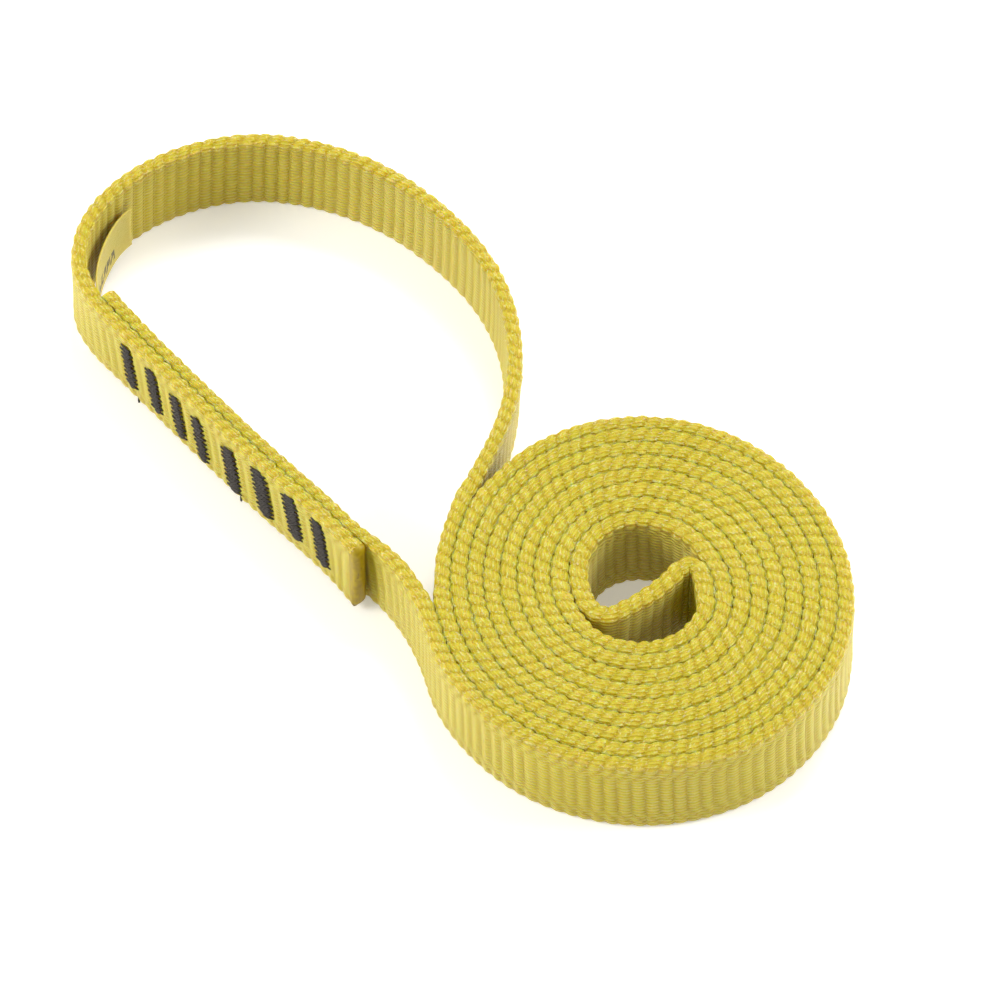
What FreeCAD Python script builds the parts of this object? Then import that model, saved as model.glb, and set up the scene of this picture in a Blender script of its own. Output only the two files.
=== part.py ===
import FreeCAD, Part
import math
import os

# Sewn webbing sling: one length of flat tubular webbing standing on its edge.  Its two ends are lapped
# and joined by eight bar tacks.  Part of the sling lies open as a loop, and the rest is doubled and
# rolled up into a round coil.  Millimetres, +Z up.  The origin is on the surface that the sling rests
# on, under the middle of its outline.

os.makedirs("parts", exist_ok=True)
doc = FreeCAD.newDocument("sewn_sling")

# ---------------------------------------------------------------- driving dimensions
SIZES = (
    ("web_width", 17.0, "webbing, edge to edge"),
    ("web_thick", 2.5, "webbing, face to face"),
    ("ply_spacing", 2.9, "middle of one lapped ply to middle of the other"),
    ("end_spacing", 3.35, "ply spacing at the inner ply's cut end, where the label comes out"),
    ("label_spacing", 1.8, "middle of the outer ply to middle of the label, at the same place"),
    ("centre_x", 0.33, "middle of the outline in the laying-out plan"),
    ("centre_y", -0.4, "middle of the outline in the laying-out plan"),
    ("coil_x", 31.0, "coil centre in the laying-out plan"),
    ("coil_y", -28.4, "coil centre in the laying-out plan"),
    ("hole_radius", 13.3, "coil radius where the turn count is zero"),
    ("turn_pitch", 2.85, "one turn of webbing to the next"),
    ("slack", 0.055, "share by which the pitch grows and shrinks round the coil"),
    ("slack_angle", -63.0, "direction in which the turns are loosest"),
    ("oval", 0.97, "half the coil's extra length over its breadth"),
    ("oval_angle", -74.0, "direction of the coil's long axis"),
    ("three_lobe", 0.20, "depth of the coil's slight three-cornered shape"),
    ("three_lobe_angle", -26.0, "direction of its first corner"),
    ("back_flat", 1.25, "how far the coil's innermost turn is pressed in at its back"),
    ("back_flat_turns", 2.6, "turns over which that dies away"),
    ("tack_width", 2.4, "bar tack, along the webbing"),
    ("tack_length", 10.5, "bar tack, across the webbing"),
    ("tack_proud", 0.45, "thread standing on the face of the webbing"),
    ("tack_slant", 8.0, "lean of the bar tacks, top towards the loop"),
    ("stitch_width", 1.4, "band of stitches through the webbing"),
    ("stitch_length", 9.5, "band of stitches through the webbing"),
    ("stitch_clear", 0.1, "between thread and webbing"),
    ("label_width", 10.0, "label ribbon, edge to edge"),
    ("label_thick", 0.3, "label ribbon"),
    ("label_bottom", 2.0, "lower edge of the label"),
    ("label_tail", 3.0, "label between the plies, past the last corner of the lap"),
    ("label_gap", 0.3, "bend line between the sewn and the free label"),
)
sheet = doc.addObject("Spreadsheet::Sheet", "sizes")
for row, (alias, value, meaning) in enumerate(SIZES, start=1):
    sheet.set(f"A{row}", alias)
    sheet.set(f"B{row}", str(value))
    sheet.set(f"C{row}", meaning)
    sheet.setAlias(f"B{row}", alias)
doc.recompute()


def size(alias):
    return float(sheet.get(alias))


# ---------------------------------------------------------------- the route of the webbing, in plan
# Every point is a corner of the route; straight runs joined by tangent arcs pass inside it.
LAP = (
    (-16.5, -22), (-19.8, -18), (-24, -12.9), (-32.5, -3.9), (-40.5, 5.1), (-48.5, 14.6), (-56, 23.6),
    (-62.4, 31.2),
)
LOOP = (
    (-65.5, 38.5), (-64, 48.5), (-57, 57.5), (-47, 63.5), (-35.5, 66), (-23.5, 64), (-12, 58.5),
    (-3, 50.5), (4.5, 41), (9, 29.5), (9.5, 17), (7, 5), (3, -6.5),
)
# The fold at the middle of the coil, measured from the coil's centre.
FOLD = (
    (-10.2, 6), (-10.6, 0.2), (-9, -5.4), (-5.4, -7.4), (-1.6, -5), (1.6, -2.7), (4.6, 0),
    (6.5, 2.6), (8.3, 3.5), (9.9, 2.7), (10.6, 0.5), (11.1, -3.2),
)
APPROACH = ((-5.4, -32.5), (-11, -22.6))
LABEL = ((-61.9, 36.6), (-61.7, 41.8), (-60.8, 46), (-59.3, 50.2), (-57.4, 53.2), (-56, 54.6))

CORNERS_PER_TURN = 12
CORNER_STEP = 360.0 / CORNERS_PER_TURN
ARC_SHARE = 0.45
# The turn count falls by two in each full turn inwards, because two strands are rolled up together.
# The strand from the loop joins the coil at LOOP_STRAND_START, the strand from the lap half a turn on.
LOOP_STRAND_START = 150
LOOP_STRAND_END = 1560
LOOP_STRAND_COUNT = 8.5
LAP_STRAND_START = -150
LAP_STRAND_END = 1410
LAP_STRAND_COUNT = 7.5
HALF_TURN = 180.0

# Each bar tack: its distance from the outer ply's cut end, and the height of its middle.
TACKS = (
    (59.2, 9.1), (52.4, 9.2), (45.9, 8.4), (40.0, 8.1), (31.7, 7.8), (23.8, 9.3), (16.1, 10), (8.9, 9.8),
)
UP = FreeCAD.Vector(0, 0, 1)


def plan_point(pair):
    x, y = pair
    return FreeCAD.Vector(x - size("centre_x"), y - size("centre_y"), 0)


def coil_radius(angle, count):
    """Radius of the webbing's middle at an angle in degrees, count turns of webbing out from the hole."""
    oval = size("oval") * math.cos(2 * math.radians(angle - size("oval_angle")))
    lobes = size("three_lobe") * math.cos(3 * math.radians(angle - size("three_lobe_angle")))
    looseness = 1 + size("slack") * math.cos(math.radians(angle - size("slack_angle")))
    at_back = ((1 + math.sin(math.radians(angle))) / 2) ** 3
    pressed = size("back_flat") * at_back * math.exp(-((count / size("back_flat_turns")) ** 2))
    return size("hole_radius") + oval + lobes + size("turn_pitch") * looseness * count - pressed


def coil_corner(angle, outer_count):
    radius = coil_radius(angle, outer_count - angle / HALF_TURN) / math.cos(math.pi / CORNERS_PER_TURN)
    x = size("coil_x") + radius * math.cos(math.radians(angle))
    y = size("coil_y") + radius * math.sin(math.radians(angle))
    return plan_point((x, y))


def coil_strand(first, last, outer_count):
    steps = int(round((last - first) / CORNER_STEP))
    return [coil_corner(first + i * CORNER_STEP, outer_count) for i in range(steps + 1)]


def lap_ply(distance, end_distance):
    """The lap's route moved sideways towards the inside of the loop, without its first corner."""
    corners = [plan_point(pair) for pair in LAP]
    moved = []
    for i in range(1, len(corners)):
        behind = (corners[i] - corners[i - 1]).normalize()
        ahead = (corners[min(i + 1, len(corners) - 1)] - corners[i - 1]).normalize()
        along = (behind + ahead).normalize()
        moved.append(corners[i] + along.cross(UP) * distance)
    moved[-1] += along.cross(UP) * (end_distance - distance)
    return moved


def webbing_route():
    centre = (size("coil_x"), size("coil_y"))
    route = [plan_point(pair) for pair in LAP + LOOP]
    route += coil_strand(LOOP_STRAND_START, LOOP_STRAND_END, LOOP_STRAND_COUNT)
    route += [plan_point((centre[0] + x, centre[1] + y)) for x, y in FOLD]
    route += reversed(coil_strand(LAP_STRAND_START, LAP_STRAND_END, LAP_STRAND_COUNT))
    route += [plan_point(pair) for pair in APPROACH]
    route += lap_ply(size("ply_spacing"), size("end_spacing"))
    return route


def left_of(direction):
    return UP.cross(direction)


def spans(route):
    """Straight runs and tangent arcs, each as three points, each point with its normal to the left."""
    pieces = []
    radii = []
    start = route[0]
    for before, corner, after in zip(route, route[1:], route[2:]):
        run_in = corner - before
        run_out = after - corner
        reach = ARC_SHARE * min(run_in.Length, run_out.Length)
        run_in.normalize()
        run_out.normalize()
        half_turn = run_in.getAngle(run_out) / 2
        radius = reach / math.tan(half_turn)
        arc_start = corner - run_in * reach
        arc_end = corner + run_out * reach
        side = math.copysign(1, run_in.cross(run_out).z)
        middle_normal = left_of((run_in + run_out).normalize())
        inset = radius / math.cos(half_turn) - radius
        arc_middle = corner + middle_normal * side * inset
        normal_in = left_of(run_in)
        normal_out = left_of(run_out)
        pieces.append(((start, normal_in), None, (arc_start, normal_in)))
        pieces.append(((arc_start, normal_in), (arc_middle, middle_normal), (arc_end, normal_out)))
        radii.append(radius)
        start = arc_end
    last_normal = left_of((route[-1] - start).normalize())
    pieces.append(((start, last_normal), None, (route[-1], last_normal)))
    return pieces, radii


def side_edges(pieces, offset):
    edges = []
    for first, middle, last in pieces:
        ends = [point + normal * offset for point, normal in (first, last)]
        if middle is None:
            edges.append(Part.LineSegment(*ends).toShape())
        else:
            edges.append(Part.Arc(ends[0], middle[0] + middle[1] * offset, ends[1]).toShape())
    return edges


def strip(route, thickness, bottom, height):
    """A strip standing on its edge along a route: a closed outline in plan, raised straight up."""
    pieces, radii = spans(route)
    left = side_edges(pieces, thickness / 2)
    right = side_edges(pieces, -thickness / 2)
    first_cap = Part.LineSegment(right[0].firstVertex().Point, left[0].firstVertex().Point).toShape()
    last_cap = Part.LineSegment(left[-1].lastVertex().Point, right[-1].lastVertex().Point).toShape()
    outline = Part.Wire([first_cap] + left + [last_cap] + list(reversed(right)))
    solid = Part.Face(outline).extrude(UP * height)
    solid.translate(UP * bottom)
    length = sum(edge.Length for edge in side_edges(pieces, 0))
    return solid, length, radii


def point_along(route, distance):
    """The point and the direction of travel at a distance from the start of a route."""
    pieces = spans(route)[0]
    for edge in side_edges(pieces, 0):
        if distance <= edge.Length:
            parameter = edge.getParameterByLength(distance)
            return edge.valueAt(parameter), edge.tangentAt(parameter)
        distance -= edge.Length
    raise ValueError("the distance is longer than the route")


def add_solid(name, shape):
    piece = doc.addObject("Part::Feature", name)
    piece.Label = name
    piece.Shape = shape
    piece.Placement = FreeCAD.Placement()
    return piece


# ---------------------------------------------------------------- bar tacks
# A tack's own axes: X along the webbing, Y out of the outer face from the middle of the outer ply,
# Z across the webbing.  The needle thread and the bobbin thread meet halfway between the plies.
OUTER_FACE = "sizes.web_thick / 2"
INNER_FACE = "(-sizes.ply_spacing - sizes.web_thick / 2)"
MEETING = "(-sizes.ply_spacing / 2)"


def local_box(name, width, low, high, length):
    box = doc.addObject("Part::Box", name)
    box.Label = name
    box.setExpression("Length", width)
    box.setExpression("Width", f"{high} - ({low})")
    box.setExpression("Height", length)
    box.setExpression("Placement.Base.x", f"-({width}) / 2")
    box.setExpression("Placement.Base.y", low)
    box.setExpression("Placement.Base.z", f"-({length}) / 2")
    return box


def tack_placement(route, distance, height):
    point, along = point_along(route, distance)
    outward = left_of(along)
    turn = FreeCAD.Rotation(along, outward, along.cross(outward), "XYZ")
    lean = FreeCAD.Rotation(FreeCAD.Vector(0, 1, 0), size("tack_slant"))
    return FreeCAD.Placement(point + UP * height, turn.multiply(lean))


def make_threads(places):
    clear = "sizes.stitch_clear"
    stitch = ("sizes.stitch_width", "sizes.stitch_length")
    needle_bar = local_box(
        "needle_bar", "sizes.tack_width", f"{OUTER_FACE} + {clear}",
        f"{OUTER_FACE} + {clear} + sizes.tack_proud", "sizes.tack_length",
    )
    bobbin_bar = local_box(
        "bobbin_bar", "sizes.tack_width", f"{INNER_FACE} - {clear} - sizes.tack_proud",
        f"{INNER_FACE} - {clear}", "sizes.tack_length",
    )
    needle_stitches = local_box("needle_stitches", stitch[0], MEETING, f"{OUTER_FACE} + {clear}", stitch[1])
    bobbin_stitches = local_box("bobbin_stitches", stitch[0], f"{INNER_FACE} - {clear}", MEETING, stitch[1])
    threads = []
    for number, place in enumerate(places, start=1):
        for kind, bar, stitches in (
            ("needle", needle_bar, needle_stitches),
            ("bobbin", bobbin_bar, bobbin_stitches),
        ):
            thread = doc.addObject("Part::Fuse", f"tack_{number}_{kind}_thread")
            thread.Label = thread.Name
            thread.Base = bar
            thread.Tool = stitches
            thread.Placement = place
            threads.append(thread)
    return threads


def make_stitch_holes(places):
    """The band of needle holes of every tack, through both plies, as one tool to cut with."""
    width = "sizes.stitch_width + 2 * sizes.stitch_clear"
    length = "sizes.stitch_length + 2 * sizes.stitch_clear"
    hole = local_box("stitch_hole", width, f"{INNER_FACE} - 1", f"{OUTER_FACE} + 1", length)
    links = []
    for number, place in enumerate(places, start=1):
        placed = doc.addObject("Part::Compound", f"stitch_hole_{number}")
        placed.Links = [hole]
        placed.Placement = place
        links.append(placed)
    holes = doc.addObject("Part::Compound", "stitch_holes")
    holes.Links = links
    return holes


def cut_from(name, blank, tool):
    piece = doc.addObject("Part::Cut", name)
    piece.Label = name
    piece.Base = blank
    piece.Tool = tool
    return piece


# ---------------------------------------------------------------- the pieces
route = webbing_route()
LABEL_SECTION = (size("label_thick"), size("label_bottom"), size("label_width"))
places = [tack_placement(route, distance, height) for distance, height in TACKS]
holes = make_stitch_holes(places)

strap, strap_length, strap_radii = strip(route, size("web_thick"), 0, size("web_width"))
webbing = cut_from("webbing", add_solid("webbing_blank", strap), holes)

# The label's sewn end lies between the plies, under the tack nearest the loop; the rest stands free.
between = lap_ply(size("ply_spacing") / 2, size("label_spacing"))
along_lap = (between[-1] - between[-2]).normalize()
bend_line = between[-1] + along_lap * size("label_gap")
sewn_end = between[-2] + (between[-3] - between[-2]).normalize() * size("label_tail")
sewn_route = [sewn_end, between[-2], between[-1]]
free_route = [bend_line] + [plan_point(pair) for pair in LABEL]

label_end_blank = add_solid("label_end_blank", strip(sewn_route, *LABEL_SECTION)[0])
label_end = cut_from("label_sewn_end", label_end_blank, holes)
label_solid, label_length, label_radii = strip(free_route, *LABEL_SECTION)
label = add_solid("label", label_solid)
threads = make_threads(places)
doc.recompute()

# ---------------------------------------------------------------- check and export
for item in doc.Objects:
    if "Invalid" in item.State or "Error" in item.State:
        raise RuntimeError(f"{item.Name} failed: {item.State}")

for piece in [webbing, label_end, label] + threads:
    shape = piece.Shape
    if shape.isNull() or not shape.isValid() or len(shape.Solids) != 1:
        raise RuntimeError(f"{piece.Label} isn't one valid solid")
    shape.exportStep(f"parts/{piece.Label}.step")

expected = strap_length * size("web_thick") * size("web_width")
print(f"webbing length {strap_length:.1f} mm, volume ratio {strap.Volume / expected:.4f}")
print(f"smallest bend of the webbing {min(strap_radii):.2f} mm, of the label {min(label_radii):.1f} mm")
print(f"free label length {label_length:.1f} mm, bend line at {bend_line}")
box = webbing.Shape.BoundBox
print(f"box {box.XMin:.2f} {box.XMax:.2f} {box.YMin:.2f} {box.YMax:.2f} {box.ZMin:.2f} {box.ZMax:.2f}")
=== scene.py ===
import math
import random

import bpy
import numpy as np
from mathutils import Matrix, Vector


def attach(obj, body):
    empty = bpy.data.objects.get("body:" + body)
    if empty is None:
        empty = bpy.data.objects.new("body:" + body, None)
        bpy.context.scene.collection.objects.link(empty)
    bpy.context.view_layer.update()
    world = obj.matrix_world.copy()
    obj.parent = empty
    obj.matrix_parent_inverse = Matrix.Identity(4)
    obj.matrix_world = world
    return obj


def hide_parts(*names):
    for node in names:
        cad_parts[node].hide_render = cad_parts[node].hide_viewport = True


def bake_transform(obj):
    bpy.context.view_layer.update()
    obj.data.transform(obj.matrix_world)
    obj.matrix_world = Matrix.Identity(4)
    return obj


# A sewn webbing sling: the webbing, its eight bar tacks and its label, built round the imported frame.
# The route is worked out in millimetres, in plan, and every mesh is made in metres.

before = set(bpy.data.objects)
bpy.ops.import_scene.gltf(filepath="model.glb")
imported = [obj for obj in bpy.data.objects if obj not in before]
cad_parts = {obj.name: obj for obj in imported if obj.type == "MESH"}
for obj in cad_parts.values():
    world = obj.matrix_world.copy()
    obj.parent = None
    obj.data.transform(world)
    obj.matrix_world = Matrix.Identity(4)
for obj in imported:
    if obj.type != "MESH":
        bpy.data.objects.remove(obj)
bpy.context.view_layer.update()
random.seed(17)
noise_source = np.random.default_rng(17)
MM = 0.001

# ---------------------------------------------------------------- the webbing's route
WEB_WIDTH = 17.0
PLY_SPACING = 2.9
END_SPACING = 3.35
LABEL_SPACING = 1.8
CENTRE = np.array((0.33, -0.4))
COIL = np.array((31.0, -28.4))
LAP = (
    (-16.5, -22), (-19.8, -18), (-24, -12.9), (-32.5, -3.9), (-40.5, 5.1), (-48.5, 14.6), (-56, 23.6),
    (-62.4, 31.2),
)
LOOP = (
    (-65.5, 38.5), (-64, 48.5), (-57, 57.5), (-47, 63.5), (-35.5, 66), (-23.5, 64), (-12, 58.5),
    (-3, 50.5), (4.5, 41), (9, 29.5), (9.5, 17), (7, 5), (3, -6.5),
)
FOLD = (
    (-10.2, 6), (-10.6, 0.2), (-9, -5.4), (-5.4, -7.4), (-1.6, -5), (1.6, -2.7), (4.6, 0),
    (6.5, 2.6), (8.3, 3.5), (9.9, 2.7), (10.6, 0.5), (11.1, -3.2),
)
APPROACH = ((-5.4, -32.5), (-11, -22.6))
LABEL = ((-62.1, 36.7), (-62.1, 41.8), (-61.2, 46.1), (-59.6, 50.4), (-57.7, 53.3), (-56.2, 54.6))
CORNERS_PER_TURN = 12
CORNER_STEP = 360.0 / CORNERS_PER_TURN
COIL_INNER_RADIUS = 13.3
COIL_OVAL = (0.97, 74)
COIL_THREE_LOBES = (0.20, 26)
COIL_LAYER_PITCH = 2.85
COIL_PITCH_CHANGE = (0.055, 63)
COIL_BACK_FLAT = 1.25
COIL_BACK_FLAT_TURNS = 2.6
OUTER_STRAND_COUNT = 8.5
INNER_STRAND_COUNT = 7.5
TACKS = (
    (59.2, 9.1), (52.4, 9.2), (45.9, 8.4), (40.0, 8.1), (31.7, 7.8), (23.8, 9.3), (16.1, 10), (8.9, 9.8),
)


def coil_corner(angle, outer_count):
    a = math.radians(angle)
    count = outer_count - angle / 180.0
    radius = COIL_INNER_RADIUS
    for lobes, (size, turned) in ((2, COIL_OVAL), (3, COIL_THREE_LOBES)):
        radius += size * math.cos(lobes * (a + math.radians(turned)))
    change, turned = COIL_PITCH_CHANGE
    radius += COIL_LAYER_PITCH * (1 + change * math.cos(a + math.radians(turned))) * count
    back = ((1 + math.sin(a)) / 2) ** 3
    radius -= COIL_BACK_FLAT * back * math.exp(-((count / COIL_BACK_FLAT_TURNS) ** 2))
    radius /= math.cos(math.pi / CORNERS_PER_TURN)
    return COIL + radius * np.array((math.cos(a), math.sin(a))) - CENTRE


def coil_strand(first, last, outer_count):
    steps = int(round((last - first) / CORNER_STEP))
    return [coil_corner(first + i * CORNER_STEP, outer_count) for i in range(steps + 1)]


def unit(vector):
    return vector / np.linalg.norm(vector)


def lap_ply(distance, end_distance):
    corners = [np.array(p, float) - CENTRE for p in LAP]
    moved = []
    for i in range(1, len(corners)):
        behind = unit(corners[i] - corners[i - 1])
        ahead = unit(corners[min(i + 1, len(corners) - 1)] - corners[i - 1])
        along = unit(behind + ahead)
        moved.append(corners[i] + np.array((along[1], -along[0])) * distance)
    moved[-1] += np.array((along[1], -along[0])) * (end_distance - distance)
    return moved


def webbing_corners():
    corners = [np.array(p, float) - CENTRE for p in LAP + LOOP]
    corners += coil_strand(150, 1560, OUTER_STRAND_COUNT)
    corners += [COIL + np.array(p) - CENTRE for p in FOLD]
    corners += reversed(coil_strand(-150, 1410, INNER_STRAND_COUNT))
    corners += [np.array(p) - CENTRE for p in APPROACH]
    corners += lap_ply(PLY_SPACING, END_SPACING)
    return np.array(corners)


def smooth_line(corners, step):
    """Points a step apart on the smooth curve that a row of control points stands for."""
    middles = (corners[:-1] + corners[1:]) / 2
    starts = np.vstack([corners[:1], middles[1:-1]])
    ends = np.vstack([middles[1:-1], corners[-1:]])
    t = np.linspace(0, 1, 40, endpoint=False)[:, None]
    line = [
        a * (1 - t) ** 2 + c * 2 * t * (1 - t) + b * t ** 2
        for a, c, b in zip(starts, corners[1:-1], ends)
    ]
    line = np.vstack(line + [corners[-1:]])
    along = np.r_[0, np.cumsum(np.linalg.norm(np.diff(line, axis=0), axis=1))]
    count = int(round(along[-1] / step))
    even = np.linspace(0, along[-1], count + 1)
    return even, np.c_[np.interp(even, along, line[:, 0]), np.interp(even, along, line[:, 1])]


class Path:
    """A line in plan that can be read at any distance along it, also a little past its ends."""

    def __init__(self, corners):
        self.along, self.points = smooth_line(corners, 0.2)
        slope = np.gradient(self.points, self.along, axis=0)
        self.tangent = slope / np.linalg.norm(slope, axis=1)[:, None]
        self.length = self.along[-1]

    def at(self, s):
        s = np.asarray(s, float)
        inside = np.clip(s, 0, self.length)
        point = np.stack([np.interp(inside, self.along, self.points[:, k]) for k in (0, 1)], -1)
        tangent = np.stack([np.interp(inside, self.along, self.tangent[:, k]) for k in (0, 1)], -1)
        point = point + tangent * (s - inside)[..., None]
        normal = np.stack([-tangent[..., 1], tangent[..., 0]], -1)
        return point, tangent, normal


def room_beside(path, reach=4.2, apart=9.0):
    """Half the distance to the next layer on the left and on the right, at each point of the path."""
    step = path.length / (len(path.along) - 1)
    skip = int(apart / step)
    cell = reach
    cells = {}
    for i, key in enumerate(map(tuple, np.floor(path.points / cell).astype(int))):
        cells.setdefault(key, []).append(i)
    left = np.full(len(path.points), reach)
    right = np.full(len(path.points), reach)
    normals = np.c_[-path.tangent[:, 1], path.tangent[:, 0]]
    for (cx, cy), members in cells.items():
        near = [cells.get((cx + dx, cy + dy), []) for dx in (-1, 0, 1) for dy in (-1, 0, 1)]
        near = np.array([i for group in near for i in group])
        for i in members:
            others = near[np.abs(near - i) > skip]
            offset = path.points[others] - path.points[i]
            distance = np.linalg.norm(offset, axis=1)
            side = offset @ normals[i]
            for room, mask in ((left, side > 0), (right, side < 0)):
                if mask.any():
                    room[i] = min(room[i], distance[mask].min())
    kernel = np.ones(15) / 15
    return [np.convolve(np.pad(room, 7, "edge"), kernel, "valid") / 2 for room in (left, right)]


# ---------------------------------------------------------------- small mesh helpers
def new_object(name, vertices, faces, materials, smooth=True):
    mesh = bpy.data.meshes.new(name)
    mesh.from_pydata([tuple(v) for v in vertices], [], faces)
    mesh.validate()
    for material in materials:
        mesh.materials.append(material)
    mesh.polygons.foreach_set("use_smooth", [smooth] * len(mesh.polygons))
    made = bpy.data.objects.new(name, mesh)
    bpy.context.scene.collection.objects.link(made)
    return made


def smoothstep(low, high, value):
    t = np.clip((value - low) / (high - low), 0, 1)
    return t * t * (3 - 2 * t)


# ---------------------------------------------------------------- node helpers
class Shader:
    """A material's node tree, with short calls for the arithmetic that its pattern needs."""

    def __init__(self, name):
        self.material = bpy.data.materials.new(name)
        self.material.use_nodes = True
        self.tree = self.material.node_tree
        self.principled = self.tree.nodes["Principled BSDF"]

    def node(self, kind, **settings):
        made = self.tree.nodes.new(kind)
        for key, value in settings.items():
            setattr(made, key, value)
        return made

    def link(self, source, target):
        self.tree.links.new(source, target)

    def feed(self, socket, value):
        if isinstance(value, (int, float, tuple)):
            socket.default_value = value
        else:
            self.link(value, socket)

    def math(self, operation, a, b=0.0, c=0.0):
        made = self.node("ShaderNodeMath", operation=operation)
        for socket, value in zip(made.inputs, (a, b, c)):
            self.feed(socket, value)
        return made.outputs[0]

    def uv(self, layer):
        made = self.node("ShaderNodeUVMap", uv_map=layer)
        parts = self.node("ShaderNodeSeparateXYZ")
        self.link(made.outputs[0], parts.inputs[0])
        return parts.outputs[0], parts.outputs[1]

    def vector(self, x, y, z=0.0):
        made = self.node("ShaderNodeCombineXYZ")
        for socket, value in zip(made.inputs, (x, y, z)):
            self.feed(socket, value)
        return made.outputs[0]

    def noise(self, vector, scale, detail=3.0, roughness=0.6):
        made = self.node("ShaderNodeTexNoise")
        self.link(vector, made.inputs["Vector"])
        made.inputs["Scale"].default_value = scale
        made.inputs["Detail"].default_value = detail
        made.inputs["Roughness"].default_value = roughness
        return made.outputs["Fac"]

    def ramp(self, factor, *stops):
        made = self.node("ShaderNodeValToRGB")
        elements = made.color_ramp.elements
        while len(elements) < len(stops):
            elements.new(0.5)
        for element, (position, colour) in zip(elements, stops):
            element.position = position
            element.color = (*colour, 1.0)
        self.link(factor, made.inputs[0])
        return made.outputs[0]

    def spread(self, value, low, high, to_low, to_high):
        made = self.node("ShaderNodeMapRange")
        self.feed(made.inputs["Value"], value)
        for name, number in (("From Min", low), ("From Max", high), ("To Min", to_low), ("To Max", to_high)):
            made.inputs[name].default_value = number
        return made.outputs[0]

    def mix(self, factor, first, second):
        made = self.node("ShaderNodeMix", data_type="RGBA")
        self.feed(made.inputs[0], factor)
        for socket, value in ((made.inputs[6], first), (made.inputs[7], second)):
            if isinstance(value, tuple):
                socket.default_value = (*value, 1.0)
            else:
                self.link(value, socket)
        return made.outputs[2]

    def bump(self, height, distance, strength=1.0, normal=None):
        made = self.node("ShaderNodeBump")
        made.inputs["Strength"].default_value = strength
        made.inputs["Distance"].default_value = distance
        self.link(height, made.inputs["Height"])
        if normal is not None:
            self.link(normal, made.inputs["Normal"])
        return made.outputs[0]

    def finish(self, colour, roughness, normal, **sockets):
        self.feed(self.principled.inputs["Base Color"], colour)
        self.feed(self.principled.inputs["Roughness"], roughness)
        if normal is not None:
            self.link(normal, self.principled.inputs["Normal"])
        for name, value in sockets.items():
            self.principled.inputs[name.replace("_", " ")].default_value = value
        return self.material


# ---------------------------------------------------------------- materials
RIB_PITCH = 2.3
YARN_PAIRS = 48
RIB_DEPTH = 0.28
EDGE_YARNS = 5.4


def webbing_material():
    """Warp yarns float over every second rib, so ribs are covered by ticks that lock into each other."""
    s = Shader("nylon_webbing")
    ribs, yarns = s.uv("weave")
    over = s.math("COSINE", s.math("MULTIPLY", ribs, math.pi))
    beside = s.math("COSINE", s.math("MULTIPLY", yarns, 2 * math.pi))
    woven = s.math("ABSOLUTE", s.math("MULTIPLY_ADD", beside, 0.36, over))
    ticks = s.math("SUBTRACT", woven, s.math("ABSOLUTE", over))
    slanted = s.math("MULTIPLY_ADD", yarns, 0.35, s.math("MULTIPLY", ribs, 3.4))
    filaments = s.noise(s.vector(slanted, s.math("MULTIPLY", yarns, 3.2)), 1.0, 3.0, 0.65)
    knuckles = s.noise(
        s.vector(s.math("MULTIPLY", ribs, 4.2), s.math("MULTIPLY", yarns, 1.5)), 1.0, 1.0, 0.5,
    )
    on_edge = s.spread(yarns, EDGE_YARNS, EDGE_YARNS + 0.8, 1.0, 0.0)
    patches = s.noise(s.vector(s.math("MULTIPLY", ribs, 0.05), s.math("MULTIPLY", yarns, 0.06)), 1.0, 2.0)
    height = s.math("MULTIPLY_ADD", filaments, 0.16, ticks)
    height = s.math("ADD", height, s.math("MULTIPLY", knuckles, s.spread(on_edge, 0.0, 1.0, 0.12, 1.0)))
    # The colour follows the weave's height: darker and more orange in the rib valleys and between the ticks,
    # paler on the crests. This is painted shade. The filament noise adds a random fibre tone.
    valley_shade_and_fibre_tone = s.math("MULTIPLY_ADD", s.math("SUBTRACT", filaments, 0.5), 0.5, woven)
    colour = s.ramp(
        valley_shade_and_fibre_tone,
        (0.0, (0.52, 0.375, 0.002)), (0.3, (0.56, 0.430, 0.005)),
        (0.7, (0.59, 0.468, 0.012)), (1.0, (0.65, 0.548, 0.046)),
    )
    webbing_colour = s.mix(s.spread(patches, 0.42, 0.75, 0.0, 0.35), colour, (0.56, 0.445, 0.012))
    # Pale specks where the knuckle noise is high, strongest on the edge beads: painted highlights mixed over
    # the colour.
    painted_highlight_specks = s.spread(knuckles, 0.56, 0.70, 0.0, 0.7)
    webbing_colour = s.mix(s.math("MULTIPLY", painted_highlight_specks, s.spread(on_edge, 0.0, 1.0, 0.25, 1.0)), webbing_colour, (0.78, 0.74, 0.30))
    roughness = s.spread(filaments, 0.3, 0.7, 0.28, 0.46)
    normal = s.bump(height, RIB_DEPTH * MM * 2.5)
    return s.finish(
        webbing_colour, roughness, normal,
        Specular_IOR_Level=0.6, Subsurface_Weight=0.8, Subsurface_Radius=(1.0, 0.55, 0.02),
        Subsurface_Scale=0.0022,
    )


def sealed_material():
    """The melted cut end: glossy amber with scorched crumbs."""
    s = Shader("heat_sealed_end")
    place = s.node("ShaderNodeTexCoord").outputs["Object"]
    lumps = s.noise(place, 900.0, 3.0)
    crumbs = s.noise(place, 1700.0, 2.0)
    amber = s.ramp(
        lumps, (0.3, (0.26, 0.172, 0.0005)), (0.6, (0.36, 0.255, 0.001)), (0.8, (0.44, 0.325, 0.002)),
    )
    colour = s.mix(s.spread(crumbs, 0.69, 0.72, 0.0, 1.0), amber, (0.06, 0.02, 0.008))
    return s.finish(
        colour, s.spread(lumps, 0.3, 0.7, 0.34, 0.5), s.bump(lumps, 0.00008), Specular_IOR_Level=0.35,
    )


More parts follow.
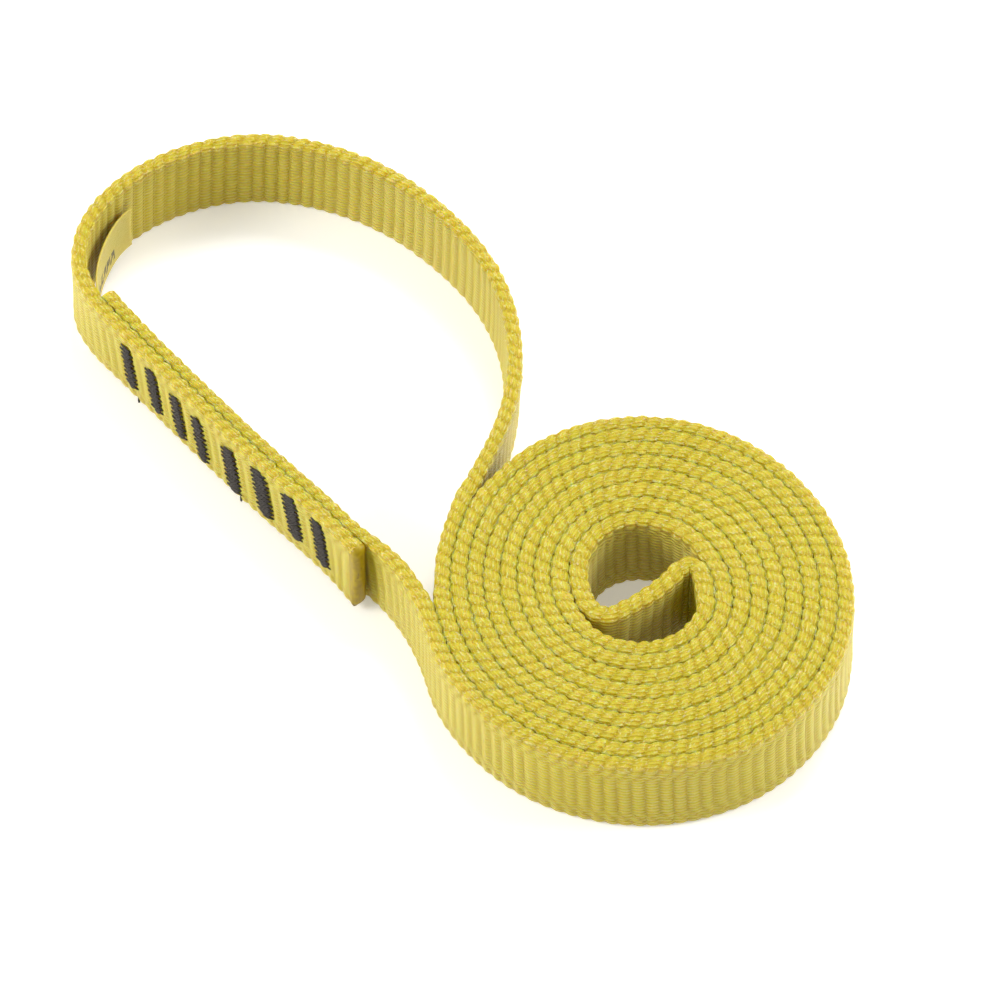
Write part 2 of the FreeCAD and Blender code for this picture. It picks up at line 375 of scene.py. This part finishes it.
def scorched_material():
    s = Shader("scorched_edge")
    place = s.node("ShaderNodeTexCoord").outputs["Object"]
    lumps = s.noise(place, 1400.0, 4.0)
    colour = s.ramp(lumps, (0.50, (0.03, 0.012, 0.004)), (0.58, (0.22, 0.14, 0.001)))
    return s.finish(colour, s.spread(lumps, 0.3, 0.7, 0.35, 0.6), s.bump(lumps, 0.0002))


def thread_material():
    """Bonded black thread, with the fine slanting lines of its twist."""
    s = Shader("black_thread")
    along, around = s.uv("thread")
    twist = s.math("SINE", s.math("ADD", s.math("MULTIPLY", along, 9.0), s.math("MULTIPLY", around, 12.56)))
    fuzz = s.noise(s.vector(s.math("MULTIPLY", along, 2.0), s.math("MULTIPLY", around, 3.0)), 3.0)
    colour = s.ramp(fuzz, (0.3, (0.009, 0.006, 0.004)), (0.7, (0.032, 0.022, 0.013)))
    height = s.math("ADD", s.math("MULTIPLY", twist, 0.5), fuzz)
    return s.finish(
        colour, s.spread(fuzz, 0.3, 0.7, 0.34, 0.55), s.bump(height, 0.00010),
        Specular_IOR_Level=0.5, Sheen_Weight=0.12, Sheen_Roughness=0.35, Sheen_Tint=(0.8, 0.65, 0.5, 1.0),
    )


def label_material():
    """Golden satin ribbon with a fine weave and plain slanted strokes where the print would be."""
    s = Shader("woven_label")
    along, across = s.uv("ribbon")
    weave_a = s.math("SINE", s.math("MULTIPLY", along, 2 * math.pi / 0.22))
    weave_b = s.math("SINE", s.math("MULTIPLY", across, 2 * math.pi / 0.16))
    weave = s.math("MULTIPLY", weave_a, weave_b)
    in_row = s.math(
        "MULTIPLY", s.spread(across, 1.0, 1.2, 0.0, 1.0), s.spread(across, 3.3, 3.5, 1.0, 0.0),
    )
    in_length = s.math(
        "MULTIPLY", s.spread(along, 14.0, 14.2, 0.0, 1.0), s.spread(along, 31.0, 31.2, 1.0, 0.0),
    )
    slanted = s.math("MULTIPLY_ADD", across, -0.45, along)
    strokes = s.noise(s.vector(s.math("MULTIPLY", slanted, 1.5), s.math("MULTIPLY", across, 0.5)), 1.0, 0.5)
    marks = s.math("MULTIPLY", in_row, s.spread(strokes, 0.45, 0.48, 0.0, 1.0))
    marks = s.math("MULTIPLY", marks, in_length)
    cloth = s.ramp(
        s.noise(s.vector(s.math("MULTIPLY", along, 0.6), s.math("MULTIPLY", across, 3.0)), 1.0),
        (0.3, (0.58, 0.43, 0.07)), (0.7, (0.66, 0.49, 0.10)),
    )
    colour = s.mix(s.math("MULTIPLY", marks, 0.9), cloth, (0.05, 0.038, 0.022))
    return s.finish(
        colour, s.spread(weave, -1.0, 1.0, 0.42, 0.56), s.bump(weave, 0.00003),
        Sheen_Weight=0.05, Sheen_Roughness=0.4, Subsurface_Weight=0.9, Subsurface_Radius=(1.0, 0.7, 0.15),
        Subsurface_Scale=0.002,
    )


def floor_material():
    s = Shader("pale_floor")
    place = s.node("ShaderNodeTexCoord").outputs["Object"]
    grain = s.noise(place, 40.0, 2.0)
    colour = s.ramp(grain, (0.3, (0.94, 0.94, 0.94)), (0.7, (0.955, 0.955, 0.955)))
    return s.finish(colour, 0.7, None, Emission_Color=(1.0, 1.0, 1.0, 1.0), Emission_Strength=0.24)


WEBBING = webbing_material()
SEALED = sealed_material()
SCORCHED = scorched_material()
THREAD = thread_material()
RIBBON = label_material()

# ---------------------------------------------------------------- the webbing
path = Path(webbing_corners())
room_left, room_right = room_beside(path)
HALF_FREE = 1.27
HALF_LOOSE = 1.66
HALF_MOST = 1.82
HALF_LEAST = 1.26
PACKED_OVERLAP = 0.15
BEND_CLEARANCE = 0.12
FACE_MOST = 1.28
BEAD_RISE = 1.1
BEAD_FULLNESS = 0.68
BEAD_POINTS = 7
BEAD_PHASES = (0.0, 0.0, 0.05, 0.25, 0.45, 0.5, 0.5)
FACE_POINTS = 4
SAMPLES_PER_RIB = 6
TACK_LEAN = 0.19
TACK_HALF_LENGTH = 5.2
TACK_PINCH = 0.22
LAP_LENGTH = 70.0
INNER_PLY_HALF = (1.24, 1.15)
INNER_PLY_BESIDE_LABEL = 0.13
OUTER_PLY_INNER_HALF = 1.22
RELIEF_MIDDLE = 0.75
LEAN_AT = np.array((9.0, 9.0))
LEAN_OUT = 1.1
SEALED_LENGTH = 1.0
END_TRIM = 1.2
EDGE_LIFT = 1.7
TOP_DRAW = 0.9


def section():
    """Round the tube: the part, its angle or its share of the height, and its shift in rib pitches."""
    points = []
    bead = np.linspace(0, math.pi, BEAD_POINTS)
    face = np.linspace(0, 1, FACE_POINTS + 2)[1:-1]
    for angle, phase in zip(bead, BEAD_PHASES):
        points.append(("top", angle, phase))
    for share in face:
        points.append(("right", 1 - share, 0.5))
    for angle, phase in zip(bead, BEAD_PHASES):
        points.append(("bottom", angle, phase + 0.5))
    for share in face:
        points.append(("left", share, 0.0))
    return points


def half_thickness(s, room, inner_side):
    """Fills the room beside the strand; a strand with nothing beside it is flatter, in the fold looser."""
    half = np.interp(s, path.along, room)
    point, tangent, normal = path.at(s)
    from_middle = np.linalg.norm(point - (COIL - CENTRE), axis=1)
    free = HALF_FREE + (HALF_LOOSE - HALF_FREE) * (1 - smoothstep(12.0, 14.0, from_middle))
    packed = np.clip(half + PACKED_OVERLAP, HALF_LEAST, HALF_MOST)
    filled = 1 - smoothstep(HALF_MOST + 0.05, HALF_MOST + 0.35, half)
    turning = np.gradient(np.unwrap(np.arctan2(tangent[:, 1], tangent[:, 0])), s) * inner_side
    bend_room = 1 / np.maximum(turning, 1e-3) - BEND_CLEARANCE
    return np.minimum(free + (packed - free) * filled, bend_room)


def tack_pinch(s, z, first_ply):
    """How far the stitches pull the face in."""
    depth = np.zeros_like(s)
    for distance, height in TACKS:
        middle = distance if first_ply else path.length - LAP_LENGTH + (LAP_LENGTH - distance)
        off = s - middle - TACK_LEAN * (z - height)
        across = 1 - smoothstep(TACK_HALF_LENGTH, TACK_HALF_LENGTH + 1.4, np.abs(z - height))
        depth = np.maximum(depth, across * np.exp(-(off / 1.9) ** 2))
    return depth * TACK_PINCH


def smoothed(values, reach):
    kernel = np.ones(2 * reach + 1) / (2 * reach + 1)
    return np.convolve(np.pad(values, reach, "edge"), kernel, "valid")


def slow_noise(count, reach, size):
    """Random values along the webbing that change over a few samples."""
    return smoothed(noise_source.normal(0, 1, count), reach) * math.sqrt(2 * reach + 1) * size


def drawn_in(height):
    """How far the stitches draw the inner ply's upper edge towards the outer ply."""
    return TOP_DRAW * (height / WEB_WIDTH) ** 5


def build_webbing():
    ribs = int(round(path.length / RIB_PITCH))
    rings = ribs * SAMPLES_PER_RIB
    count = rings + 1
    s_ring = np.linspace(0, path.length - END_TRIM, count)
    phase_ring = np.arange(count) / SAMPLES_PER_RIB + slow_noise(count, 9, 0.05)
    to_end = np.minimum(s_ring, s_ring[-1] - s_ring)
    near_lap = 1 - smoothstep(60, 100, to_end)
    lean = (0.035 + 0.10 * near_lap) * smoothstep(0, 9, to_end)
    flare = 1 + 0.10 * np.exp(-(s_ring / 1.6) ** 2) + 0.16 * np.exp(-((s_ring[-1] - s_ring) / 2.4) ** 2)
    fade = smoothstep(0.2, SEALED_LENGTH + 0.8, to_end)
    sides = ((room_left, 1), (room_right, -1))
    bead = [smoothed(half_thickness(s_ring, room, inner_side), 4) for room, inner_side in sides]
    in_lap = 1 - smoothstep(LAP_LENGTH, LAP_LENGTH + 12, to_end)
    flat = [half + (np.minimum(half, FACE_MOST) - half) * in_lap for half in bead]
    flat = [np.where(in_lap * (half > 1.5) > 0.5, HALF_FREE, thin) for half, thin in zip(bead, flat)]
    flat = [smoothed(half, 12) for half in flat]
    inner_ply = smoothstep(-LAP_LENGTH - 8, -LAP_LENGTH + 4, s_ring - s_ring[-1])
    outer_ply = 1 - smoothstep(LAP_LENGTH - 4, LAP_LENGTH + 10, s_ring)
    beside_label = smoothstep(-14, -4, s_ring - s_ring[-1])
    toward_outer, toward_loop = INNER_PLY_HALF
    bead[0] += (toward_outer + INNER_PLY_BESIDE_LABEL * beside_label - bead[0]) * inner_ply
    bead[1] += (toward_loop - bead[1]) * inner_ply + (OUTER_PLY_INNER_HALF - bead[1]) * outer_ply
    lift = EDGE_LIFT * (0.5 + 0.5 * smoothstep(0, 8, s_ring)) * (1 - smoothstep(62, 90, s_ring))
    wobble = slow_noise(count, 30, 0.03)
    from_lean = np.linalg.norm(path.at(s_ring)[0] - (LEAN_AT - CENTRE), axis=1)
    tilt = LEAN_OUT * np.exp(-(from_lean / 15) ** 2) * (s_ring < 300)
    strength = 1 + slow_noise(count, 3, 0.16)
    columns = []
    perimeter = 0.0
    spots = []
    last = None
    for kind, value, phase in section():
        left, right = bead if kind == "top" else flat
        left, right = left * flare, right * flare
        radius = (left + right) / 2
        middle = (left - right) / 2
        if kind in ("top", "bottom"):
            turn = 1 if kind == "top" else -1
            normal_lateral = math.cos(value) * turn
            normal_up = math.sin(value) * turn
            lateral = middle + radius * math.copysign(abs(normal_lateral) ** BEAD_FULLNESS, normal_lateral)
            rise = BEAD_RISE * math.copysign(abs(normal_up) ** BEAD_FULLNESS, normal_up)
            height = (WEB_WIDTH - BEAD_RISE if kind == "top" else BEAD_RISE) + rise
        else:
            normal_lateral = -1.0 if kind == "right" else 1.0
            normal_up = 0.0
            pinch_in = 0.10 * math.sin(math.pi * value)
            lateral = middle + (radius - pinch_in) * normal_lateral
            height = BEAD_RISE + value * (WEB_WIDTH - 2 * BEAD_RISE)
        height = height + np.zeros(count)
        columns.append((lateral, height, normal_lateral, normal_up, phase, kind))
        here = (float(np.mean(lateral)), float(np.mean(height)))
        perimeter += 0.0 if last is None else math.dist(last, here)
        spots.append(perimeter)
        last = here
    first = (float(np.mean(columns[0][0])), float(np.mean(columns[0][1])))
    spots.append(perimeter + math.dist(last, first))
    grid = np.zeros((count, len(columns), 3))
    for j, (lateral, height, nl, nu, phase, kind) in enumerate(columns):
        ribbed = np.abs(np.cos(math.pi * (phase_ring + phase)))
        relief = RIB_DEPTH * (ribbed - RELIEF_MIDDLE) * strength * fade
        if kind == "top":
            relief = relief + slow_noise(count, 1, 0.035) * fade
        s_here = s_ring + lean * (height - WEB_WIDTH / 2)
        pull = np.zeros(count)
        if kind == "left":
            pull = tack_pinch(s_here, height, True) * (s_ring < LAP_LENGTH)
        if kind == "right":
            pull = tack_pinch(s_here, height, False) * (s_ring > path.length - LAP_LENGTH)
        move = relief - pull
        share = height / WEB_WIDTH
        off = lateral + nl * move + tilt * share + drawn_in(height) * inner_ply
        z = height + nu * move + wobble * share + lift * (1 - share) ** 2
        point, tangent, normal = path.at(s_here)
        grid[:, j, :2] = point + normal * off[:, None]
        grid[:, j, 2] = np.maximum(z, 0.0)
    return s_ring, phase_ring, grid, columns, spots


CAP_STEPS = ((0.96, 0.22), (0.82, 0.48), (0.60, 0.68), (0.32, 0.80))
CAP_TIP = 0.84
CAP_UP_SHARE = 0.22
POINTED_HEIGHT = 3.5


def end_caps(grid):
    """Rounds each cut end over in a few rings; each end closes in one point."""
    n = len(grid)
    rings = []
    for index, neighbour in ((0, 3), (n - 1, n - 4)):
        ring = grid[index]
        centre = ring.mean(axis=0)
        outward = unit(ring.mean(axis=0) - grid[neighbour].mean(axis=0))
        made = []
        for shrink, forward in CAP_STEPS:
            moved = centre + (ring - centre) * np.array((shrink, shrink, 1 - (1 - shrink) * CAP_UP_SHARE))
            low = np.clip(1 - moved[:, 2:3] / POINTED_HEIGHT, 0, 1) * 0.5
            made.append(moved + outward * (forward - low))
        rings.append((made, centre + outward * CAP_TIP))
    return rings


def webbing_object():
    s_ring, phase_ring, grid, columns, spots = build_webbing()
    n, m = grid.shape[:2]
    vertices = list(grid.reshape(-1, 3) * MM)
    faces = []
    uvs = []
    kinds = []
    around = [x / spots[-1] * YARN_PAIRS for x in spots]
    phases = [c[4] for c in columns] + [1.0]
    for j in range(m):
        k = (j + 1) % m
        u0, u1, v0, v1 = phases[j], phases[j + 1], around[j], around[j + 1]
        for i in range(n - 1):
            faces.append((i * m + j, i * m + k, (i + 1) * m + k, (i + 1) * m + j))
            a, b = phase_ring[i], phase_ring[i + 1]
            uvs.append(((a + u0, v0), (a + u1, v1), (b + u1, v1), (b + u0, v0)))
            sealed = s_ring[i] < (0.3 if columns[j][5] == "top" else SEALED_LENGTH)
            kinds.append(1 if sealed else 0)
    for end, (rings, tip) in enumerate(end_caps(grid)):
        base = 0 if end == 0 else (n - 1) * m
        flip = end == 1
        previous = [base + j for j in range(m)]
        for level, ring in enumerate(rings):
            start = len(vertices)
            vertices.extend(ring * MM)
            current = [start + j for j in range(m)]
            for j in range(m):
                k = (j + 1) % m
                face = (previous[k], previous[j], current[j], current[k])
                faces.append(tuple(reversed(face)) if flip else face)
                uvs.append(((0.0, 0.0),) * 4)
                scorched = level in (0, 1) and end == 0 and columns[j][5] == "right"
                kinds.append(2 if scorched else int(end == 0 or level > 1))
            previous = current
        start = len(vertices)
        vertices.append(np.array(tip) * MM)
        for j in range(m):
            k = (j + 1) % m
            face = (previous[k], previous[j], start)
            faces.append(tuple(reversed(face)) if flip else face)
            uvs.append(((0.0, 0.0),) * 3)
            kinds.append(1)
    made = new_object("webbing_sling", vertices, faces, (WEBBING, SEALED, SCORCHED))
    layer = made.data.uv_layers.new(name="weave")
    layer.data.foreach_set("uv", [x for face in uvs for pair in face for x in pair])
    made.data.polygons.foreach_set("material_index", kinds)
    return made


webbing = webbing_object()
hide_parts("webbing")
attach(webbing, "webbing")

# ---------------------------------------------------------------- bar tacks
THREAD_RADIUS = 0.145
TUBE_SIDES = 6
PASS_SPACING = 0.27
LONG_TOOTH = 0.42
SHORT_TOOTH = -0.25


def tube(points, radius):
    """A round tube along a row of points, with its two ends closed."""
    points = np.array(points)
    tangents = np.gradient(points, axis=0)
    tangents /= np.linalg.norm(tangents, axis=1)[:, None]
    side = np.cross(tangents[0], (0.0, 0.0, 1.0))
    if np.linalg.norm(side) < 0.1:
        side = np.cross(tangents[0], (0.0, 1.0, 0.0))
    vertices = []
    for point, tangent in zip(points, tangents):
        side = unit(side - tangent * (side @ tangent))
        up = np.cross(tangent, side)
        for k in range(TUBE_SIDES):
            angle = 2 * math.pi * k / TUBE_SIDES
            vertices.append(point + radius * (math.cos(angle) * side + math.sin(angle) * up))
    faces = []
    uvs = []
    along = np.r_[0, np.cumsum(np.linalg.norm(np.diff(points, axis=0), axis=1))]
    for i in range(len(points) - 1):
        for k in range(TUBE_SIDES):
            n = (k + 1) % TUBE_SIDES
            row, following = i * TUBE_SIDES, (i + 1) * TUBE_SIDES
            faces.append((row + k, following + k, following + n, row + n))
            u0, u1, v0, v1 = along[i], along[i + 1], k / TUBE_SIDES, (k + 1) / TUBE_SIDES
            uvs.append(((u0, v0), (u1, v0), (u1, v1), (u0, v1)))
    last = (len(points) - 1) * TUBE_SIDES
    faces.append(tuple(range(TUBE_SIDES)))
    faces.append(tuple(last + TUBE_SIDES - 1 - k for k in range(TUBE_SIDES)))
    uvs += [((0.0, 0.0),) * TUBE_SIDES] * 2
    return vertices, faces, uvs


def joined(name, tubes, material):
    vertices, faces, uvs = [], [], []
    for v, f, u in tubes:
        start = len(vertices)
        vertices += [x * MM for x in v]
        faces += [tuple(start + i for i in face) for face in f]
        uvs += u
    made = new_object(name, vertices, faces, (material,))
    layer = made.data.uv_layers.new(name="thread")
    layer.data.foreach_set("uv", [x for face in uvs for pair in face for x in pair])
    return made


def zigzag(height, half_width, half_length, face_height):
    """One thread to and fro across the tack: (along, out of the face, up), dipping in at every turn."""
    passes = int(2 * half_length / PASS_SPACING)
    rows = []
    for i in range(passes + 1):
        z = -half_length + 2 * half_length * i / passes
        taper = 1.0 - 0.35 * max(0.0, abs(z) / half_length - 0.85) / 0.15
        tooth = LONG_TOOTH if (i // 2) % 2 else SHORT_TOOTH
        edge = half_width * taper + tooth + random.uniform(-0.15, 0.15)
        sign = 1 if i % 2 else -1
        shift = -0.45 * sign
        lift = random.uniform(-0.05, 0.07)
        rows.append((sign * edge, 0.05, z + shift * 0.5))
        rows.append((sign * edge * 0.90, 0.12 + lift, z + shift * 0.42))
        rows.append((sign * edge * 0.45, 0.17 + lift, z + shift * 0.2))
        rows.append((0.0, 0.20 + lift, z + 0.05))
        rows.append((-sign * edge * 0.45, 0.17 + lift, z - shift * 0.2 + 0.1))
    return [(x, y + face_height, z + height) for x, y, z in rows]


def placed(rows, distance, height, side):
    """From a tack's own axes to the frame, following the webbing's line and the tack's lean."""
    out = []
    for x, y, z in rows:
        s = distance + x + TACK_LEAN * (z - height)
        point, tangent, normal = path.at(s)
        spot = point + normal * (y * side + (drawn_in(z) if side < 0 else 0.0))
        out.append((spot[0], spot[1], z))
    return out


TACK_HALF_WIDTHS = (1.25, 1.3, 1.2, 1.3, 1.65, 1.8, 1.65, 1.5)
NUBS = {1: -1.0, 5: -1.2}
NUB_LINE = ((0, 0.7, 2.9), (-0.1, 1.15, 2.5), (-0.25, 1.38, 2.2), (-0.4, 1.45, 1.9))
BOBBIN_DROP = 0.6
TACK_HALF_LENGTHS = (4.8, 5.1, 4.9, 5.1, 5.2, 5.5, 5.2, 5.3)
THREAD_STANDS_OUT = 0.12
half_face = HALF_FREE - TACK_PINCH + THREAD_STANDS_OUT
THREADS = (("needle", 1, 0.0, 0.0), ("bobbin", -1, PLY_SPACING, BOBBIN_DROP))
for number, (distance, height) in enumerate(TACKS, start=1):
    half_width = TACK_HALF_WIDTHS[number - 1]
    half_length = TACK_HALF_LENGTHS[number - 1]
    for kind, side, offset, drop in THREADS:
        rows = zigzag(height - drop, half_width, half_length - drop, half_face + offset)
        parts = [tube(placed(rows, distance, height, side), THREAD_RADIUS)]
        if kind == "needle" and number in NUBS:
            at = NUBS[number]
            nub = [(at + x, y, z) for x, y, z in NUB_LINE]
            parts.append(tube(placed(nub, distance, height, 1), THREAD_RADIUS * 1.4))
        thread = joined(f"tack_{number}_{kind}_stitches", parts, THREAD)
        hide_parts(f"tack_{number}_{kind}_thread")
        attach(thread, "webbing")

# ---------------------------------------------------------------- the label
LABEL_WIDTH = 10.0
LABEL_BOTTOM = 2.0
LABEL_THICK = 0.26
LABEL_TAIL = 3.0
LABEL_TRIM = 0.8


def label_object():
    between = lap_ply(PLY_SPACING / 2, LABEL_SPACING)
    tail = between[-2] + unit(between[-3] - between[-2]) * LABEL_TAIL
    corners = np.array([tail, between[-2], between[-1]] + [np.array(p) - CENTRE for p in LABEL])
    line = Path(corners)
    count = int(line.length / 0.5)
    across = 12
    s = np.linspace(0, line.length - LABEL_TRIM, count + 1)
    vertices, faces, uvs = [], [], []
    free = smoothstep(line.length - 22, line.length, s)
    for face_side in (1, -1):
        for i, distance in enumerate(s):
            for j in range(across + 1):
                share = j / across
                cup = 0.35 * free[i] * (2 * share - 1) ** 2
                point, tangent, normal = line.at(distance + 0.25 * free[i] * share)
                spot = point + normal * (face_side * LABEL_THICK / 2 - cup)
                z = LABEL_BOTTOM + LABEL_WIDTH * share
                vertices.append(np.array((spot[0], spot[1], z)) * MM)
    half = (count + 1) * (across + 1)

    def at(side, i, j):
        return side * half + i * (across + 1) + j

    def add(face, places):
        faces.append(face)
        uvs.append([(s[i], LABEL_WIDTH * j / across) for i, j in places])

    def add_edge(first, second):
        face = (at(0, *first), at(0, *second), at(1, *second), at(1, *first))
        add(face, (first, second, second, first))

    for i in range(count):
        for j in range(across):
            places = ((i, j), (i + 1, j), (i + 1, j + 1), (i, j + 1))
            add(tuple(at(1, *p) for p in places), places)
            places = tuple(reversed(places))
            add(tuple(at(0, *p) for p in places), places)
    for i in range(count):
        for j, order in ((0, 1), (across, -1)):
            places = ((i, j), (i + 1, j))[::order]
            add_edge(*places)
    for j in range(across):
        for i, order in ((0, -1), (count, 1)):
            places = ((i, j), (i, j + 1))[::order]
            add_edge(*places)
    made = new_object("label_ribbon", vertices, faces, (RIBBON,))
    layer = made.data.uv_layers.new(name="ribbon")
    layer.data.foreach_set("uv", [x for face in uvs for pair in face for x in pair])
    return made, line.length


label, label_length = label_object()
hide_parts("label_sewn_end", "label")
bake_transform(label)

# ---------------------------------------------------------------- floor, lights and camera
CAMERA_AT = Vector((7.02, -1174.8, 1618.0)) * MM
CAMERA_TILT = 36.0
CAMERA_LENS = 421.2
scene = bpy.context.scene
scene.view_settings.view_transform = "Standard"

floor = new_object(
    "floor", [(x * 6, y * 6, 0.0) for x, y in ((-1, -1), (1, -1), (1, 1), (-1, 1))], [(0, 1, 2, 3)],
    (floor_material(),), smooth=False,
)

camera_data = bpy.data.cameras.new("camera")
camera_data.lens = CAMERA_LENS
camera_data.sensor_width = 36.0
camera = bpy.data.objects.new("camera", camera_data)
camera.location = CAMERA_AT
camera.rotation_euler = (math.radians(CAMERA_TILT), 0, 0)
scene.collection.objects.link(camera)
scene.camera = camera

world = bpy.data.worlds.new("studio")
world.use_nodes = True
world.node_tree.nodes["Background"].inputs[0].default_value = (1.0, 1.0, 1.0, 1.0)
world.node_tree.nodes["Background"].inputs[1].default_value = 0.55
scene.world = world


def softbox(name, place, size, power):
    data = bpy.data.lights.new(name, "AREA")
    data.shape = "RECTANGLE"
    data.size, data.size_y = size
    data.energy = power
    lamp = bpy.data.objects.new(name, data)
    lamp.location = place
    lamp.rotation_euler = (-Vector(place)).to_track_quat("-Z", "Y").to_euler()
    scene.collection.objects.link(lamp)


SOFTBOX_SIZE = (0.5, 0.4)
softbox("softbox_left", (-0.9, -0.15, 0.55), SOFTBOX_SIZE, 8.2)
softbox("softbox_right", (0.95, 0.10, 0.55), SOFTBOX_SIZE, 7.0)
softbox("softbox_back", (0.2, 0.65, 1.0), SOFTBOX_SIZE, 7.4)
